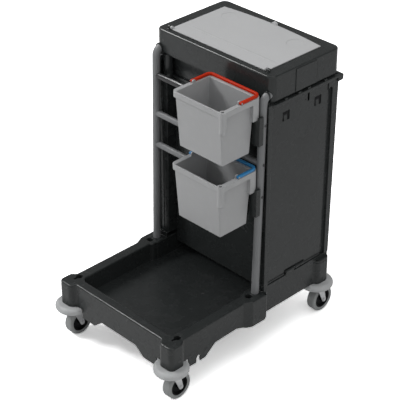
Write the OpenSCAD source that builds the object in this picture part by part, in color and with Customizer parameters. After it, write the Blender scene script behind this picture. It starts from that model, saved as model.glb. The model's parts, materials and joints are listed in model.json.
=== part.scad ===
// Janitor cart: a low tray in front, a cabinet with a lidded hood behind it, and two buckets hung on
// the rails between two bent posts. Millimetres, +X to the right, +Y towards the push handle, +Z up.
// The origin is on the ground below the middle of the cart.

/* [Base] */
// Width over the base rim
base_w = 538; // [500:1:600]
// Length over the base rim
base_l = 736; // [720:1:780]
// Height of the rim's top above the ground
rim_top = 233; // [225:1:250]
// Height of the tray's floor above the ground
tray_floor = 162; // [156:1:172]
// Wall of the base moulding
base_wall = 4.5; // [3.5:0.1:6]
// Width of the rim along the sides
rim_side = 41; // [40:0.5:46]
// Width of the rim at the two ends
rim_end = 37; // [34:0.5:44]
// Lowest height of the skirts, near the castors
skirt_low = 106; // [104:0.5:115]
// Height of the arch in the end skirts
end_arch = 138; // [125:1:145]
// Height of the arch in the side skirts
side_arch = 146; // [135:1:150]
// Width of the square corner bosses
boss_w = 65; // [60:1:72]
// How far the rear corner bosses rise above the rim
rear_boss_up = 9; // [4:0.5:12]
// Height of the plinth that the cabinet stands on
plinth_h = 19; // [14:0.5:24]
// How far the mid bosses stand out past the side rim
mid_proud = 15; // [8:0.5:18]
// Length of the mid bosses
mid_len = 84; // [80:1:100]
// Corner rounding of the bosses
boss_round = 18; // [10:1:24]

/* [Accessory sockets] */
// Bore of the mid sockets
mid_socket_d = 25; // [20:0.5:26]
// Bore of the front sockets
front_socket_d = 24; // [20:0.5:25]
// Depth of the sockets
socket_depth = 60; // [40:1:62]
// Inset of the sockets from the side of the rim
socket_inset = 21; // [20:0.5:24]
// Distance of a mid socket ahead of its post
socket_ahead = 33.3; // [31:0.1:38]
// Distance of a front socket behind the castor stem
socket_behind = 33.5; // [32:0.5:38]

/* [Castors] */
// Wheel diameter
wheel_d = 100; // [90:1:101]
// Tyre width
tyre_w = 35; // [28:0.5:36]
// Distance of the axle behind the swivel axis
trail = 22; // [18:0.5:30]
// Inset of the stem from the side of the rim
stem_inset_x = 16.4; // [14:0.2:20]
// Inset of the stem from the end of the rim
stem_inset_y = 9; // [7:0.5:12]
// Stem diameter
stem_d = 11; // [9:0.5:12]
// Outer radius of the bumper ring
bumper_r = 61.4; // [56:0.2:64]
// Height of the bumper ring
bumper_h = 27; // [24:0.5:30]
// Axle diameter
axle_d = 8; // [7:0.5:10]

/* [Posts and rails] */
// Post tube diameter
post_d = 27; // [24:0.5:28]
// Wall of the post and rail tubes
tube_wall = 2; // [1.5:0.1:3]
// Inset of the post's foot from the side of the rim
post_inset = 22; // [21:0.5:24]
// Place of the post's foot along the cart
post_y = 43.2; // [38:0.1:46]
// Backward lean of the posts in degrees
post_lean = 1.19; // [0.6:0.01:1.4]
// Outward splay of the posts in degrees
post_splay = 0.24; // [0:0.01:0.3]
// Height of the post's bent end above the ground
post_end_z = 983; // [978:1:990]
// Bend radius of the post
post_bend = 24; // [20:0.5:28]
// Rail tube diameter
rail_d = 22; // [19:0.5:24]
// Height of the upper rail
rail_upper_z = 885; // [875:1:892]
// Height of the middle rail
rail_middle_z = 740; // [710:1:770]
// Height of the lower rail
rail_lower_z = 619; // [610:1:625]

/* [Cabinet] */
// Front of the cabinet's outer skin
skin_front = 64.5; // [60:0.5:68]
// Front of the cabinet's pillars
pillar_front = 76; // [75:0.5:79]
// Front face of the front panel
panel_front = 113.5; // [108:0.5:120]
// Rear face of the cabinet
cabinet_rear = 394.5; // [385:0.5:398]
// Inset of the pillars' inner faces from the side of the rim
pillar_inset = 52; // [48:0.5:56]
// Height of the front pillars' tops
pillar_top = 878; // [860:1:890]
// Height of the bottom edge of the front panel
panel_low = 200; // [185:1:215]
// Thickness of the cabinet's panels
panel_t = 4; // [3:0.2:5]
// Thickness of the sill below the doors
sill_t = 4; // [3:0.2:5]
// Width of the upright groove behind each door
groove_w = 20; // [14:0.5:26]
// Width of the rear pillars along the cart
rear_pillar = 20; // [16:0.5:28]
// How far the rear pillars lean back at the top
rear_lean = 8; // [0:0.5:10]
// Height of the top rail of the side frames
frame_rail_h = 17; // [14:0.5:22]
// How far the ledge stands out from the side
ledge_proud = 7; // [4:0.5:10]
// Thickness of the ledge
ledge_t = 8; // [5:0.5:10]

/* [Doors] */
// Distance of a door's outer face behind the side of the cabinet
door_set_in = 3; // [2:0.5:5]
// Depth of the flange round a door
door_flange = 12; // [8:0.5:16]
// Gap round a door
door_gap = 1.5; // [1:0.1:2.5]
// Size of the square snap windows
window_w = 34; // [24:1:40]
// Half the distance between the snap windows
window_apart = 77; // [60:1:90]
// Height of the hinge axis above the plinth
hinge_up = 11; // [10.5:0.5:12]
// Outer radius of the hinge barrels
barrel_r = 6.5; // [5.5:0.1:7]
// Hinge pin diameter
hinge_pin_d = 6; // [5:0.5:7]

/* [Hood and lid] */
// Height of the hood's bottom above the ground
hood_low = 961; // [954:1:966]
// Height of the hood
hood_h = 89; // [82:1:100]
// Front face of the hood
hood_front = 75; // [74:0.5:78]
// Rear face of the hood
hood_rear = 406.5; // [400:0.5:410]
// Wall of the hood
hood_wall = 4; // [3:0.2:5]
// Corner rounding of the hood seen from above
hood_round = 26; // [20:1:32]
// Rounding of the hood's top edge
hood_edge = 5; // [4:0.5:10]
// Width of the lid
lid_w = 444; // [420:1:450]
// Front edge of the lid
lid_front = 99.5; // [96:0.5:102]
// Length of the lid at its sides
lid_l = 258; // [240:1:262]
// How far the lid's rear edge bows back in the middle
lid_bow = 16; // [8:0.5:18]
// Thickness of the lid
lid_t = 6; // [5:0.2:8]
// Depth of the recess that the lid lies in
lid_recess = 4; // [3:0.2:5]
// Diameter of the lid's hinge pins
lid_pin_d = 5; // [4:0.5:6]

/* [Buckets] */
// Width of a bucket over its rim
bucket_w = 231; // [220:1:236]
// Depth of a bucket over its rim and hook
bucket_l = 173; // [165:1:180]
// Height of a bucket
bucket_h = 200; // [190:1:206]
// Wall of a bucket
bucket_wall = 3; // [2.5:0.1:4]
// Distance of the bucket's side from the middle of the right post
bucket_side = 4.6; // [3:0.1:7]
// Gap between the bucket's hook and the posts
bucket_gap = 1.6; // [1.2:0.1:3]
// Height of a bucket's rim above its rail
rim_above_rail = 107; // [104:1:110]
// How far the front and rear walls lean in
bucket_taper = 15; // [6:0.5:18]
// How far the side walls lean in
side_taper = 4.5; // [2:0.5:10]
// Height of the rim band
band_h = 20; // [14:0.5:26]
// Overhang of the rim past the front wall
band_out = 2; // [1:0.5:6]
// Overhang of the rim past the side walls
band_side = 13; // [11:0.5:15]
// Depth of the hook at the bucket's rear
hook_d = 16; // [15:0.5:20]
// Height of the hook's skirt
hook_h = 80; // [70:1:84]
// Length of the cheeks that close the hook
cheek_l = 36; // [30:1:40]
// Thickness of a carrying handle
grip_t = 10; // [8:0.5:11]
// Diameter of the handle's pivots
pivot_d = 6; // [5:0.5:7]

/* [Hidden] */

// Colours
charcoal = "#3b3e3f";
black = "#1d1e1f";
light_grey = "#c3c5c6";
bucket_grey = "#a9acad";
tube_grey = "#8d9091";
tyre_grey = "#9a9c9d";
zinc = "#c9cccd";
red = "#d2431f";
blue = "#3f8fc4";

// Clearances
run_fit = 0.05;
seat_gap = 0.3;
cut_over = 1;

$fn = 64;
corner_steps = 6;

// Base values
half_w = base_w / 2;
half_l = base_l / 2;
boss_up = 36;
boss_low = skirt_low + boss_up;
boss_floor = 5;
stem_x = half_w - stem_inset_x;
stem_y = half_l - stem_inset_y;
boss_x = stem_x;
boss_y = stem_y - 2.5;
fillet = 14;
edge_round = 6.5;
boss_step = 0.6;
base_round = 14;
pocket_round = 22;
pocket_step = pillar_inset - rim_side;
pocket_step_y = post_y - post_d / 2 - 7;
post_x = half_w - post_inset;
socket_x = half_w - socket_inset;
socket_y = post_y - socket_ahead;
front_socket_y = -stem_y + socket_behind;
bulge_wall = 16;
bulge_r = mid_socket_d / 2 + bulge_wall;
socket_wall = 3.5;
key_slot_w = 10;
key_slot_l = 13;
key_slot_deep = 6;
mid_slope = 16;
mid_shoulder = 16;
mid_step = 11.5;
mid_front = socket_y - 0.35 * mid_len;
castor_clear = bumper_r + 3;
arch_slope = 40;
end_arch_half = half_w - castor_clear - 2 * arch_slope - 38;
bush_wall = 4.5;
bush_r = stem_d / 2 + bush_wall;
column_wall = 5;
column_r = bush_r + column_wall;
column_cover = 14;
column_top = rim_top - column_cover;
stem_cover = 14;
stem_top = column_top - stem_cover;
notch_r = 8.5;
notch_behind = 110;
notch_y = -stem_y + notch_behind;
notch_up = 18;
notch_z = skirt_low + notch_up;
low_behind = 140;
tray_screw_x = 56;
tray_screw_ahead = 29;
tray_screw_y = socket_y - tray_screw_ahead;
tray_screw_r = 2.5;
tray_screw_head = 4.5;
tray_screw_head_h = 2;
tray_screw_l = 14;

// Castor values
wheel_r = wheel_d / 2;
crown_low = wheel_d + 3.5;
crown_t = 4;
crown_top = crown_low + crown_t;
bumper_top = boss_low;
bumper_web = 6;
housing_top = bumper_top - bumper_web;
housing_r = 24;
spigot_r = 8;
spigot_l = 17;
web_hole_r = 9;
leg_t = 3;
hub_half = tyre_w / 2 + 3.2;
leg_in = hub_half + seat_gap;
leg_out = leg_in + leg_t;
frame_y = (bumper_r - trail - wheel_r) / 2;
hub_r = 36;
bolt_head_r = axle_d / 2 + 2.5;
bolt_head_t = 2.5;

// Post values
post_r = post_d / 2;
post_foot = 42;
post_rise = post_end_z - post_bend - rim_top;
post_tail = 10;
collar_wall = 1.5;
collar_r = post_r + collar_wall;
collar_l = 5;
rail_screw_r = 2.5;
rail_screw_head = 5;

function post_at_x(z) = post_x + (z - rim_top) * tan(post_splay);
function post_at_y(z) = post_y + (z - rim_top) * tan(post_lean);

// Cabinet values
side_x = half_w;
skin_t = panel_t;
pillar_x = half_w - pillar_inset;
plinth_top = rim_top + plinth_h;
sill_top = plinth_top + sill_t;
neck_h = 9;
neck_in = 10;
ledge_top = hood_low - neck_h;
rail_low = ledge_top - frame_rail_h;
inner_x = side_x - 24;
rear_pillar_front = cabinet_rear - rear_pillar;
door_front = skin_front + 18 + door_gap;
door_rear = rear_pillar_front - groove_w;
door_mid = (door_front + door_rear) / 2;
door_x = side_x - door_set_in;
door_in = door_x - door_flange - 2;
door_low = plinth_top + door_gap + 0.5;
door_top = rail_low - door_gap;
hinge_z = plinth_top + hinge_up;
knuckle_l = 43;
knuckle_gap = 4;
knuckle_reach = knuckle_l + knuckle_gap / 2;
groove_top = rail_low - 18;
ledge_round = 20;
ledge_corner = side_x + ledge_proud - ledge_round;
lug_places = [66, 130, 176, 258];
ledge_lugs = [for (d = lug_places) hood_front + d];
ledge_lug_l = 13;
ledge_lug_h = 6;
groove_deep = 9;
rear_set_in = 26.5;
strip_x = min(pillar_x, boss_x - boss_w / 2 - 1);
grip_slot_w = 200;
slot_w = 9;
slot_h = 30;
slot_behind = 34;
window_deep = 2.5;
window_down = 62;
window_back = 8;
barrel_clear = 4;
leaf_back = 2.5;
leaf_up = 7;
rib_w = 6;
rib_t = 2;
column_leg_r = 17;
column_leg_y = pillar_front + column_leg_r + 2;
handle_depth = 26;
handle_lap = 6;
handle_h = 24;

// Hood and lid values
hood_top = hood_low + hood_h;
hood_step_h = 9;
hood_step_d = 7;
step_y = hood_front + hood_step_d;
hood_opening = 10;
lid_half = lid_w / 2;
lid_rear = lid_front + lid_l;
lid_clear = 2.2;
lid_low = hood_top - lid_recess + seat_gap;
lid_high = lid_low + lid_t;
lid_axis_y = lid_front + 2.5;
lid_axis_z = lid_high + 3.5;
ear_r = lid_pin_d / 2 + 3.5;
ear_t = 5;
ear_in = lid_half - 8;
lug_in = lid_half + lid_clear + 0.7;
lug_t = 6.5;
tab_r = 13;
tab_up = 9;
tab_t = 11;
disc_r = 31;
disc_x = 151;
disc_back = 44;
disc_deep = 0.6;
plate_y = hood_front + 113;
plate_l = 100;
plate_h = hood_h - 2;
plate_t = 2.5;
seam_w = 3;
seam_deep = 2;
seam_end = 12;

// Bucket values
bucket_x_half = bucket_w / 2;
bucket_y_half = bucket_l / 2;
band_t = 3.5;
bucket_round = 16;
body_round = 5;
bucket_floor = 3.5;
body_front = -bucket_y_half + band_out;
body_rear = bucket_y_half - hook_d;
pivot_y = 0;
grip_reach = bucket_y_half - grip_t / 2 - pivot_y;
grip_x = bucket_x_half - grip_t / 2 - 1;
pivot_z = bucket_h + seat_gap + grip_t / 2;
bail_ear_t = 4;
bail_ear_r = grip_t / 2 + 2;
bail_ear_x = grip_x - grip_t / 2 - seat_gap - bail_ear_t;
pillar_hole_r = 5.5;
pillar_wall = 6.5;
pillar_r = pillar_hole_r + pillar_wall;
pillar_h = 75;
pillar_out = 1.5;
rim_mark_w = 4;
rim_mark_h = 3;
rim_marks = [-49, 62];
rim_mark_side = -29;
tongue_in = 3;
tongue_t = 7;

function bucket_place(rail_z) = [
    post_at_x(rail_z) + bucket_side - bucket_x_half,
    post_at_y(rail_z + hook_h) - post_r - bucket_gap - bucket_y_half,
    rail_z + rim_above_rail - bucket_h];

// Castor corners: front left, front right, rear left, rear right
corners = [[-1, -1], [1, -1], [-1, 1], [1, 1]];
function stem_at(i) = [corners[i][0] * stem_x, corners[i][1] * stem_y, 0];

// Points along an arc
function arc(c, r, a0, a1, n = corner_steps) =
    [for (i = [0:n]) let (a = a0 + (a1 - a0) * i / n) c + r * [cos(a), sin(a)]];

// Outline of a rectangle with round corners
function round_rect(x0, y0, x1, y1, r) = concat(
    arc([x1 - r, y1 - r], r, 0, 90), arc([x0 + r, y1 - r], r, 90, 180),
    arc([x0 + r, y0 + r], r, 180, 270), arc([x1 - r, y0 + r], r, 270, 360));

// Brings the middle of the whole cart to the origin
module placed() {
    translate([0, frame_y, 0]) children();
}

module slab(z0, z1) {
    translate([0, 0, z0]) linear_extrude(z1 - z0) children();
}

module box(x0, x1, y0, y1, z0, z1) {
    translate([x0, y0, z0]) cube([x1 - x0, y1 - y0, z1 - z0]);
}

module rod_x(x0, x1, y, z, r) {
    translate([x0, y, z]) rotate([0, 90, 0]) cylinder(r = r, h = x1 - x0);
}

module rod_y(x, y0, y1, z, r) {
    translate([x, y0, z]) rotate([-90, 0, 0]) cylinder(r = r, h = y1 - y0);
}

module both_sides() {
    children();
    mirror([1, 0, 0]) children();
}

module on_side(side) {
    mirror([side < 0 ? 1 : 0, 0, 0]) children();
}

// Base

module base_outline(inset) {
    offset(r = edge_round, $fn = 32) offset(r = -fillet - edge_round - inset, $fn = 32)
        offset(r = fillet, $fn = 32) {
        polygon(round_rect(-half_w, -half_l, half_w, half_l, base_round));
        for (c = corners) boss_outline(c);
        both_sides() mid_outline();
    }
}

module boss_outline(c, inset = 0) {
    half = boss_w / 2 - inset;
    translate([c[0] * boss_x, c[1] * boss_y])
        polygon(round_rect(-half, -half, half, half, boss_round - inset));
}

module mid_outline() {
    y0 = mid_front;
    out = half_w + mid_proud;
    polygon([[0, y0], [half_w, y0 - mid_slope], [out, y0 + mid_shoulder], [out, y0 + mid_len],
        [half_w, y0 + mid_len + mid_step], [0, y0 + mid_len]]);
}

module pocket_outline(inset) {
    front_x = half_w - rim_side - inset;
    rear_x = front_x - pocket_step;
    end_y = half_l - rim_end - inset;
    difference() {
        union() {
            polygon(round_rect(-front_x, -end_y, front_x, pocket_step_y - inset, pocket_round));
            polygon(round_rect(-rear_x, -half_l / 2, rear_x, end_y, pocket_round));
        }
        both_sides() translate([socket_x, socket_y]) circle(r = bulge_r + inset);
    }
}

module skirt_cuts() {
    end_y = boss_y + boss_w / 2 + cut_over;
    // The arch in the two end skirts
    rotate([90, 0, 0]) translate([0, 0, -end_y]) linear_extrude(2 * end_y)
        polygon([[-end_arch_half - arch_slope, skirt_low - cut_over], [-end_arch_half, end_arch],
            [end_arch_half, end_arch], [end_arch_half + arch_slope, skirt_low - cut_over]]);
    // The long arches in the side skirts
    mid_y = mid_front;
    low_y = -stem_y + low_behind;
    out = half_w + mid_proud + cut_over;
    rotate([90, 0, 90]) translate([0, 0, -out]) linear_extrude(2 * out)
        polygon([[low_y, skirt_low - cut_over], [low_y + 48, side_arch - 3], [mid_y - 48, side_arch],
            [mid_y - 4, side_arch - 16], [mid_y + mid_len - 8, side_arch - 16],
            [mid_y + mid_len + 6, side_arch - 2], [end_y, side_arch - 2],
            [end_y, skirt_low - cut_over]]);
    // The small hook-shaped notches near the front castors
    rod_x(-out, out, notch_y, notch_z, notch_r);
    box(-out, out, notch_y - 1.2 * notch_r, notch_y + 0.8 * notch_r, skirt_low - cut_over, notch_z);
}

module base_tray() {
    color(charcoal) placed() difference() {
        union() {
            difference() {
                slab(skirt_low, rim_top) base_outline(0);
                slab(tray_floor, rim_top + cut_over) pocket_outline(0);
                slab(skirt_low - cut_over, rim_top - base_wall) difference() {
                    base_outline(base_wall);
                    pocket_outline(-base_wall);
                }
                slab(skirt_low - cut_over, tray_floor - base_wall) base_outline(base_wall);
                skirt_cuts();
                for (i = [0:3]) translate(stem_at(i))
                    cylinder(r = castor_clear, h = boss_low);
            }
            for (i = [0:3]) {
                translate(stem_at(i)) translate([0, 0, boss_low])
                    cylinder(r = column_r, h = rim_top - base_wall / 2 - boss_low);
                slab(boss_low, boss_low + boss_floor) boss_outline(corners[i], base_wall / 2);
            }
            for (i = [2, 3])
                slab(rim_top - base_wall, rim_top + rear_boss_up) boss_outline(corners[i], boss_step);
            both_sides() {
                box(side_x - base_wall, side_x, skin_front, cabinet_rear, rim_top - 1, plinth_top);
                box(pillar_x, side_x, skin_front, cabinet_rear, plinth_top - base_wall, plinth_top);
                box(pillar_x, side_x, skin_front, skin_front + base_wall, rim_top - 1, plinth_top);
            }
            both_sides() {
                translate([socket_x, socket_y, rim_top - socket_depth])
                    cylinder(r = mid_socket_d / 2 + socket_wall, h = socket_depth - base_wall / 2);
                translate([socket_x, front_socket_y, rim_top - socket_depth])
                    cylinder(r = front_socket_d / 2 + socket_wall, h = socket_depth - base_wall / 2);
                translate([post_x, post_y, rim_top - post_foot])
                    cylinder(r = post_r + socket_wall, h = post_foot - base_wall / 2);
            }
        }
        for (i = [0:3]) translate(stem_at(i)) translate([0, 0, boss_low - cut_over])
            cylinder(r = bush_r, h = column_top - boss_low + cut_over);
        both_sides() {
            translate([socket_x, socket_y, rim_top - socket_depth - cut_over])
                cylinder(d = mid_socket_d, h = socket_depth + 2 * cut_over);
            translate([socket_x, front_socket_y, rim_top - socket_depth - cut_over])
                cylinder(d = front_socket_d, h = socket_depth + 2 * cut_over);
            box(socket_x - key_slot_w / 2, socket_x + key_slot_w / 2,
                front_socket_y - front_socket_d / 2 - key_slot_l, front_socket_y,
                rim_top - key_slot_deep, rim_top + cut_over);
            post_path(1, post_r + run_fit);
        }
        for (s = [-1, 1]) translate([s * tray_screw_x, tray_screw_y, tray_floor]) {
            translate([0, 0, -base_wall - cut_over]) cylinder(r = tray_screw_r, h = base_wall);
            translate([0, 0, -tray_screw_head_h])
                cylinder(r = tray_screw_head + seat_gap, h = tray_screw_head_h + cut_over);
        }
    }
}

module tray_screws() {
    color(black) placed() for (s = [-1, 1]) translate([s * tray_screw_x, tray_screw_y, tray_floor]) {
        translate([0, 0, -tray_screw_head_h]) cylinder(r = tray_screw_head, h = tray_screw_head_h);
        translate([0, 0, -tray_screw_l]) cylinder(r = tray_screw_r, h = tray_screw_l - tray_screw_head_h);
    }
}

module bumper(i) {
    ring_r = bumper_h / 2;
    color(light_grey) placed() translate(stem_at(i)) rotate_extrude() difference() {
        union() {
            translate([bumper_r - ring_r, bumper_top - ring_r]) circle(r = ring_r);
            translate([web_hole_r, bumper_top - bumper_web])
                square([bumper_r - ring_r - web_hole_r, bumper_web]);
        }
        translate([0, bumper_top - bumper_h - cut_over])
            square([bumper_r - ring_r - 3, bumper_h - bumper_web + cut_over]);
    }
}

module castor_bushes() {
    color(black) placed() for (i = [0:3]) translate(stem_at(i)) translate([0, 0, boss_low])
        difference() {
            cylinder(r = bush_r, h = column_top - boss_low);
            translate([0, 0, -cut_over])
                cylinder(r = stem_d / 2 + run_fit, h = column_top - boss_low + 2 * cut_over);
        }
}

module castor_housings() {
    color(zinc) placed() for (i = [0:3]) translate(stem_at(i)) difference() {
        union() {
            translate([0, 0, crown_top + seat_gap])
                cylinder(r = housing_r, h = housing_top - crown_top - seat_gap);
            translate([0, 0, housing_top]) cylinder(r = web_hole_r - run_fit, h = bumper_web);
            translate([0, 0, boss_low]) cylinder(d = stem_d, h = stem_top - boss_low);
        }
        cylinder(r = spigot_r + run_fit, h = crown_top + spigot_l + 1);
    }
}

module fork(i) {
    color(zinc) placed() translate(stem_at(i)) difference() {
        union() {
            translate([0, 0, crown_low]) intersection() {
                cylinder(r = housing_r + 2, h = crown_t);
                box(-leg_out, leg_out, -housing_r - 2, housing_r + 2, 0, crown_t);
            }
            cylinder_spigot();
            for (s = [-1, 1]) translate([s * (leg_in + leg_t / 2), 0, 0]) rotate([90, 0, 90])
                linear_extrude(leg_t, center = true) fork_leg();
        }
        rod_x(-leg_out - cut_over, leg_out + cut_over, trail, wheel_r, axle_d / 2 + run_fit / 2);
    }
}

module cylinder_spigot() {
    translate([0, 0, crown_top]) cylinder(r = spigot_r, h = spigot_l);
}

module fork_leg() {
    hull() {
        translate([-12, crown_low]) square([30, crown_t]);
        translate([trail, wheel_r]) circle(r = axle_d / 2 + 5, $fn = 32);
    }
}

module axle(i) {
    color(zinc) placed() translate(stem_at(i)) {
        rod_x(-leg_out, leg_out, trail, wheel_r, axle_d / 2);
        rod_x(leg_out, leg_out + bolt_head_t, trail, wheel_r, bolt_head_r);
        translate([-leg_out - bolt_head_t, trail, wheel_r]) rotate([0, 90, 0])
            cylinder(r = bolt_head_r + 1, h = bolt_head_t, $fn = 6);
    }
}

module wheel_turn(i) {
    translate(stem_at(i)) translate([0, trail, wheel_r]) rotate([0, 90, 0])
        rotate_extrude() children();
}

module hub(i) {
    bore = axle_d / 2 + run_fit;
    color(black) placed() wheel_turn(i) {
        translate([bore, -hub_half]) square([axle_d / 2 + 6 - bore, 2 * hub_half]);
        translate([bore, -4]) square([hub_r - bore, 8]);
        translate([hub_r - 5, -tyre_w / 2 + 2]) square([5, tyre_w - 4]);
    }
}

module tyre(i) {
    edge = 6;
    color(tyre_grey) placed() wheel_turn(i) polygon(concat(
        [[hub_r, -tyre_w / 2 + 1], [hub_r + 2, -tyre_w / 2]],
        arc([wheel_r - edge, -tyre_w / 2 + edge], edge, 270, 360),
        arc([wheel_r - edge, tyre_w / 2 - edge], edge, 0, 90),
        [[hub_r + 2, tyre_w / 2], [hub_r, tyre_w / 2 - 1]]));
}

// Posts and rails

module post_path(side, r, over = 0) {
    translate([side * post_x, post_y, rim_top]) rotate([-post_lean, side * post_splay, 0]) {
        translate([0, 0, -post_foot - over]) cylinder(r = r, h = post_foot + post_rise + over);
        translate([0, post_bend, post_rise]) rotate([90, 0, -90])
            rotate_extrude(angle = 90) translate([post_bend, 0]) circle(r = r);
        translate([0, post_bend, post_rise + post_bend]) rotate([-90, 0, 0])
            cylinder(r = r, h = post_tail + over);
    }
}

rails = [rail_upper_z, rail_middle_z, rail_lower_z];

module post(side) {
    color(tube_grey) placed() difference() {
        post_path(side, post_r);
        post_path(side, post_r - tube_wall, cut_over);
        for (z = rails) on_side(side)
            rod_x(post_at_x(z) - post_d, post_at_x(z) + post_d, post_at_y(z), z,
                rail_screw_r + run_fit);
    }
}

module rail(z, shade) {
    reach = post_at_x(z);
    color(shade) placed() difference() {
        rod_x(-reach, reach, post_at_y(z), z, rail_d / 2);
        rod_x(-reach - cut_over, reach + cut_over, post_at_y(z), z, rail_d / 2 - tube_wall);
        for (s = [-1, 1]) post_path(s, post_r);
    }
}

module rail_screws() {
    color(black) placed() for (z = rails) both_sides() {
        x = post_at_x(z) + post_r;
        rod_x(x - post_d - 8, x, post_at_y(z), z, rail_screw_r);
        rod_x(x, x + 2, post_at_y(z), z, rail_screw_head);
    }
}

module post_collars() {
    color(charcoal) placed() both_sides() difference() {
        rod_y(post_at_x(post_end_z), hood_front - collar_l, hood_front, post_end_z, collar_r);
        post_path(1, post_r + run_fit);
    }
}

// Cabinet

module front_panel() {
    color(charcoal) placed() {
        box(-pillar_x, pillar_x, panel_front, panel_front + panel_t, panel_low, hood_low);
        both_sides()
            box(pillar_x, door_in, panel_front, panel_front + panel_t, pillar_top, rail_low);
        box(-pillar_x, pillar_x, panel_front - 8, panel_front, pillar_top - 8, pillar_top);
    }
}

module rear_panel() {
    y = cabinet_rear - rear_set_in;
    color(charcoal) placed() difference() {
        union() {
            box(-inner_x, inner_x, y - panel_t, y, sill_top, hood_low);
            box(-strip_x, strip_x, y - panel_t, y, rim_top, sill_top + 1);
        }
        slab_y(y - panel_t - cut_over, y + cut_over)
            polygon(round_rect(-grip_slot_w / 2, rail_low - 60, grip_slot_w / 2, rail_low - 20, 18));
    }
}

module slab_y(y0, y1) {
    translate([0, y1, 0]) rotate([90, 0, 0]) linear_extrude(y1 - y0) children();
}

module side_frame(side) {
    outer_in = side_x - skin_t;
    rib_x = post_x - 4;
    color(charcoal) placed() on_side(side) difference() {
        union() {
            // Skin strip ahead of the door, sill, top rail and ledge
            box(outer_in, side_x, skin_front, door_front - door_gap, plinth_top, rail_low);
            box(pillar_x, door_in, pillar_front, cabinet_rear, plinth_top, sill_top);
            box(inner_x, side_x, pillar_front, cabinet_rear, rail_low, ledge_top);
            box(outer_in, side_x, skin_front, cabinet_rear, rail_low, ledge_top);
            box(inner_x, side_x - neck_in, step_y, cabinet_rear, ledge_top - 1, hood_low);
            slab(ledge_top - ledge_t, ledge_top) polygon(concat(
                arc([ledge_corner, hood_front - 2 + ledge_round], ledge_round, 270, 360),
                [[side_x + ledge_proud, cabinet_rear + handle_lap],
                    [side_x - 1, cabinet_rear + handle_lap],
                    [side_x - 1, hood_front + ledge_round], [ledge_corner, hood_front + ledge_round]]));
            // Front pillar
            box(pillar_x, outer_in + 1, pillar_front, pillar_front + panel_t, plinth_top, pillar_top);
            box(pillar_x, pillar_x + panel_t, pillar_front, panel_front, plinth_top, pillar_top);
            box(pillar_x, door_in, pillar_front, panel_front, pillar_top - panel_t, pillar_top);
            box(outer_in - 8, outer_in + 1, pillar_front, door_front - door_gap, plinth_top, rail_low);
            box(rib_x - rib_w / 2, rib_x + rib_w / 2, pillar_front - rib_t, pillar_front + 1,
                plinth_top, pillar_top);
            // Rear pillar and the back of the upright groove
            box(inner_x, side_x, rear_pillar_front, rear_pillar_front + panel_t, plinth_top, rail_low);
            translate([outer_in, 0, 0]) rotate([90, 0, 90]) linear_extrude(skin_t)
                polygon([[rear_pillar_front, plinth_top], [cabinet_rear, plinth_top],
                    [cabinet_rear + rear_lean, ledge_top - handle_h],
                    [cabinet_rear, ledge_top - handle_h],
                    [cabinet_rear, rail_low], [rear_pillar_front, rail_low]]);
            box(inner_x, side_x, cabinet_rear - panel_t, cabinet_rear, plinth_top, rail_low);
            box(side_x - groove_deep - panel_t, side_x - groove_deep, door_rear, rear_pillar_front + 1,
                plinth_top, rail_low);
            difference() {
                box(inner_x, side_x, door_rear, rear_pillar_front + 1, groove_top - groove_w / 2,
                    rail_low);
                rod_x(side_x - groove_deep, side_x + cut_over, door_rear + groove_w / 2,
                    groove_top - groove_w / 2, groove_w / 2);
            }
            // Lugs on the ledge
            for (y = ledge_lugs)
                box(side_x - neck_in - 1, side_x + ledge_proud - 2, y - ledge_lug_l / 2,
                    y + ledge_lug_l / 2, ledge_top - 1, ledge_top + ledge_lug_h);
            // Hinge knuckle on a tab of the sill
            y0 = door_mid - knuckle_gap / 2 - knuckle_l;
            box(door_x - door_flange - 3, side_x, y0, y0 + knuckle_l, plinth_top, sill_top);
            rod_y(door_x, y0, y0 + knuckle_l, hinge_z, barrel_r);
            box(door_x - barrel_r, side_x, y0, y0 + knuckle_l, sill_top - 1, hinge_z);
        }
        rod_y(door_x, door_front, door_rear, hinge_z, hinge_pin_d / 2);
    }
}

module door_hinge_pins() {
    color(zinc) placed() both_sides()
        rod_y(door_x, door_mid - knuckle_reach, door_mid + knuckle_reach, hinge_z, hinge_pin_d / 2);
}

module door(side) {
    y0 = door_front;
    y1 = door_rear - door_gap;
    inner = door_x - door_flange;
    barrel_y = door_mid + knuckle_gap / 2;
    cut_half = knuckle_reach + barrel_clear;
    cut_top = hinge_z + barrel_r + barrel_clear;
    slot_y = door_mid + slot_behind;
    color(charcoal) placed() on_side(side) difference() {
        union() {
            difference() {
                box(inner, door_x, y0, y1, door_low, door_top);
                box(inner - cut_over, door_x - panel_t, y0 + panel_t, y1 - panel_t, door_low + panel_t,
                    door_top - panel_t);
                box(inner - cut_over, door_x + cut_over, door_mid - cut_half, door_mid + cut_half,
                    door_low - cut_over, cut_top);
                for (s = [-1, 1]) door_window(window_mid + s * window_apart);
                box(inner - cut_over, door_x + cut_over, slot_y, slot_y + slot_w, door_top - slot_h,
                    door_top + cut_over);
                rod_x(inner, door_x + cut_over, slot_y - slot_w, door_top - 0.7 * slot_h, slot_w / 4);
            }
            rod_y(door_x, barrel_y, barrel_y + knuckle_l, hinge_z, barrel_r);
            box(door_x - panel_t - leaf_back, door_x - panel_t + 1, barrel_y, barrel_y + knuckle_l, hinge_z,
                cut_top + leaf_up);
            for (s = [-1, 1]) window_tongue(window_mid + s * window_apart);
        }
        rod_y(door_x, y0, y1, hinge_z, hinge_pin_d / 2 + run_fit);
    }
}

window_z = door_top - window_down;
window_mid = door_mid + window_back;

module door_window(y) {
    box(door_x - window_deep, door_x + cut_over, y - window_w / 2, y + window_w / 2, window_z,
        window_z + window_w);
}

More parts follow.
